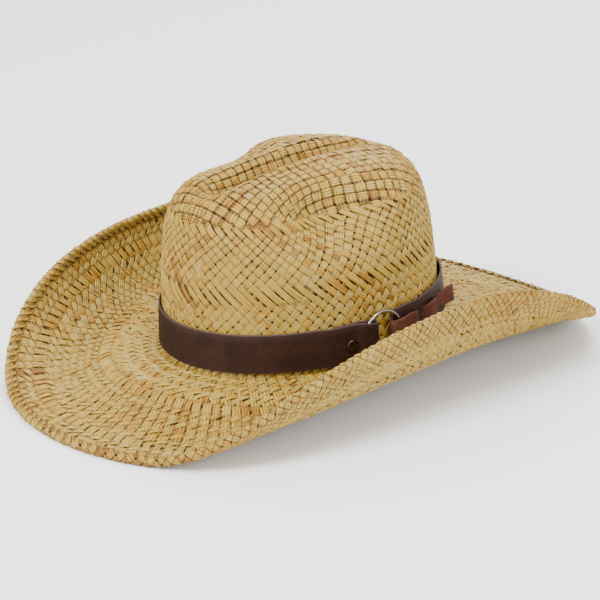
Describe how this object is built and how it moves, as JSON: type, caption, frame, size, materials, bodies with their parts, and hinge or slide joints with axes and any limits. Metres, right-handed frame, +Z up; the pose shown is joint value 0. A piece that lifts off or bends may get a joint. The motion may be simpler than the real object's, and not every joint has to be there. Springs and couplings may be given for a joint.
{
  "type": "western hat",
  "caption": "Woven straw western hat with a creased crown, a side-curled brim and a leather band laced through a metal ring.",
  "frame": {"origin": "centre of the hat's box, on the table it rests on", "axes": "+Z up, -Y towards the hat's front, +X towards the wearer's left"},
  "size_m": [0.3128, 0.4206, 0.1483],
  "materials": {
    "straw": "woven matte straw",
    "straw_hem": "plaited matte straw",
    "spring_wire": "drawn wire",
    "sweatband_cloth": "woven cloth",
    "thread": "spun thread",
    "label_cloth": "blank woven label",
    "leather": "smooth dark leather",
    "aged_steel": "aged nickel",
    "aged_brass": "dark antique"
  },
  "bodies": {
    "hat": {"straw_body": "straw", "brim_hem": "straw_hem", "brim_wire": "spring_wire", "sweatband": "sweatband_cloth", "sweatband_thread": "thread", "size_label": "label_cloth", "hatband_strap": "leather", "rivet_cap": "aged_brass", "rivet_post": "aged_steel"},
    "ring": {"band_ring": "aged_steel"}
  },
  "joints": [
    {"name": "ring_spin", "type": "hinge", "parent": "hat", "child": "ring", "pos_m": [0.08797, -0.00739, 0.04269], "axis": [0.9976, -0.0455, 0.053], "continuous": true}
  ]
}
